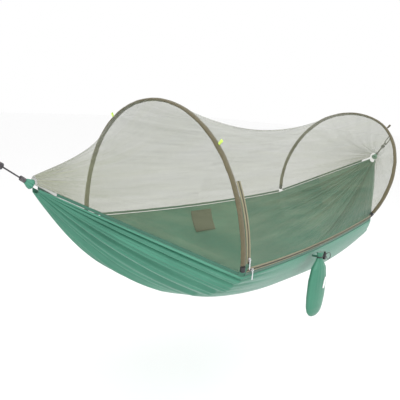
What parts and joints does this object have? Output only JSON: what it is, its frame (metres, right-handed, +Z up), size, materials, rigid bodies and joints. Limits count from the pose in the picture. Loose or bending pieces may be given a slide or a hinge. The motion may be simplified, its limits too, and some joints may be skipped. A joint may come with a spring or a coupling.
{
  "type": "camping hammock",
  "caption": "Gathered-end nylon hammock with two sprung hoops, a zipped mosquito net, a stuff sack and a carabiner on each end.",
  "frame": {"origin": "bearing point of the head-end carabiner, where the anchor strap pulls", "axes": "+X along the hammock from the head end to the foot end, +Y to the side away from the zipped door, +Z up as it hangs"},
  "size_m": [2.8757, 1.0744, 0.933],
  "materials": {
    "bed_nylon": "parachute nylon, fine plain weave with a soft sheen",
    "sack_nylon": "parachute nylon",
    "net": "fine polyester mosquito mesh",
    "pocket_mesh": "brown nylon pocket",
    "binding": "folded nylon hem",
    "zip_tape": "woven zip tape",
    "zip_chain": "nylon coil",
    "zip_metal": "plated zinc",
    "rod": "glass-fibre rod",
    "rod_tip": "moulded tip",
    "sleeve": "woven sleeve over the rod",
    "tip_pocket": "reinforced pocket",
    "ribbon": "fluorescent grosgrain ribbon",
    "rope": "braided nylon rope",
    "carabiner": "anodised dark grey",
    "steel": "spring steel",
    "cord": "thin braided cord",
    "lock_plastic": "black plastic"
  },
  "bodies": {
    "hammock": {"bed_fabric": "bed_nylon", "far_foot_binding": "binding", "far_head_binding": "binding", "far_middle_binding": "binding", "foot_end_channel": "bed_nylon", "foot_far_pocket": "tip_pocket", "foot_knot": "rope", "foot_near_pocket": "tip_pocket", "foot_net": "net", "foot_rope": "rope", "foot_whipping": "rope", "head_end_channel": "bed_nylon", "head_far_pocket": "tip_pocket", "head_knot": "rope", "head_near_pocket": "tip_pocket", "head_net": "net", "head_rope": "rope", "head_whipping": "rope", "hem_zip_chain": "zip_chain", "hem_zip_tape": "zip_tape", "inner_pocket": "pocket_mesh", "middle_net": "net", "near_foot_binding": "binding", "near_head_binding": "binding", "near_middle_binding": "binding"},
    "head_hoop": {"head_rod": "rod", "head_rod_tips": "rod_tip", "head_sleeve": "sleeve", "near_ribbon_tab": "ribbon", "far_ribbon_tab": "ribbon", "leg_zip_tape": "zip_tape", "leg_zip_chain": "zip_chain"},
    "foot_hoop": {"foot_rod": "rod", "foot_rod_tips": "rod_tip", "foot_sleeve": "sleeve", "foot_ribbon_tab": "ribbon"},
    "hem_slider": {"hem_slider": "zip_metal"},
    "hem_pull": {"hem_pull": "zip_metal"},
    "leg_slider": {"leg_slider": "zip_metal"},
    "leg_pull": {"leg_pull": "zip_metal"},
    "sack": {"stuff_sack": "sack_nylon", "sack_hanger": "cord", "drawstring": "cord", "cord_lock": "lock_plastic", "lock_spring": "steel"},
    "lock_button": {"lock_button": "lock_plastic"},
    "head_carabiner": {"head_carabiner": "carabiner", "head_gate_pin": "steel", "head_gate_spring": "steel"},
    "head_gate": {"head_gate": "carabiner"},
    "foot_carabiner": {"foot_carabiner": "carabiner", "foot_gate_pin": "steel", "foot_gate_spring": "steel"},
    "foot_gate": {"foot_gate": "carabiner"}
  },
  "joints": [
    {"name": "head_hoop_lean", "type": "hinge", "parent": "hammock", "child": "head_hoop", "pos_m": [0.73607, 0, -0.39579], "axis": [0, 1, 0], "range_deg": [-10, 10], "deforming": ["head_net", "middle_net"]},
    {"name": "foot_hoop_lean", "type": "hinge", "parent": "hammock", "child": "foot_hoop", "pos_m": [2.05007, 0, -0.36779], "axis": [0.2711, 0.9625, 0], "range_deg": [-10, 10], "deforming": ["foot_net"]},
    {"name": "hem_slider_travel", "type": "hinge", "parent": "hammock", "child": "hem_slider", "pos_m": [1.40933, -2.0447, 4.43733], "axis": [0.116, -0.9432, -0.3113], "range_deg": [0, 12.51]},
    {"name": "hem_pull_swing", "type": "hinge", "parent": "hem_slider", "child": "hem_pull", "pos_m": [0.78645, -0.53178, -0.40585], "axis": [-0.9857, -0.1479, 0.0806], "range_deg": [0, 150]},
    {"name": "leg_slider_travel", "type": "hinge", "parent": "head_hoop", "child": "leg_slider", "pos_m": [0.76107, 0.12308, -0.39579], "axis": [-1, 0, 0], "range_deg": [0, 24.36]},
    {"name": "leg_pull_swing", "type": "hinge", "parent": "leg_slider", "child": "leg_pull", "pos_m": [0.76107, -0.53629, -0.36122], "axis": [-1, 0, 0], "range_deg": [0, 150]},
    {"name": "sack_swing", "type": "hinge", "parent": "hammock", "child": "sack", "pos_m": [1.30216, -0.45046, -0.4637], "axis": [-1, 0, 0], "range_deg": [0, 35]},
    {"name": "lock_button_press", "type": "slide", "parent": "sack", "child": "lock_button", "axis": [0, 0, -1], "range_m": [0, 0.004], "stiffness_N_per_m": 400, "springref_m": -0.003, "deforming": ["lock_spring"]},
    {"name": "head_carabiner_swing", "type": "hinge", "parent": "hammock", "child": "head_carabiner", "pos_m": [0.06176, 0, -0.04166], "axis": [0.5592, 0, 0.829], "range_deg": [-45, 45]},
    {"name": "head_gate_open", "type": "hinge", "parent": "head_carabiner", "child": "head_gate", "pos_m": [0.05177, 0, -0.01803], "axis": [0, -1, 0], "range_deg": [0, 24], "stiffness_Nm_per_rad": 0.1, "springref_deg": -28.65, "deforming": ["head_gate_spring"]},
    {"name": "foot_carabiner_swing", "type": "hinge", "parent": "hammock", "child": "foot_carabiner", "pos_m": [2.79638, 0, -0.04166], "axis": [-0.5592, 0, 0.829], "range_deg": [-45, 45]},
    {"name": "foot_gate_open", "type": "hinge", "parent": "foot_carabiner", "child": "foot_gate", "pos_m": [2.80638, 0, -0.01803], "axis": [0, 1, 0], "range_deg": [0, 24], "stiffness_Nm_per_rad": 0.1, "springref_deg": -28.65, "deforming": ["foot_gate_spring"]}
  ]
}
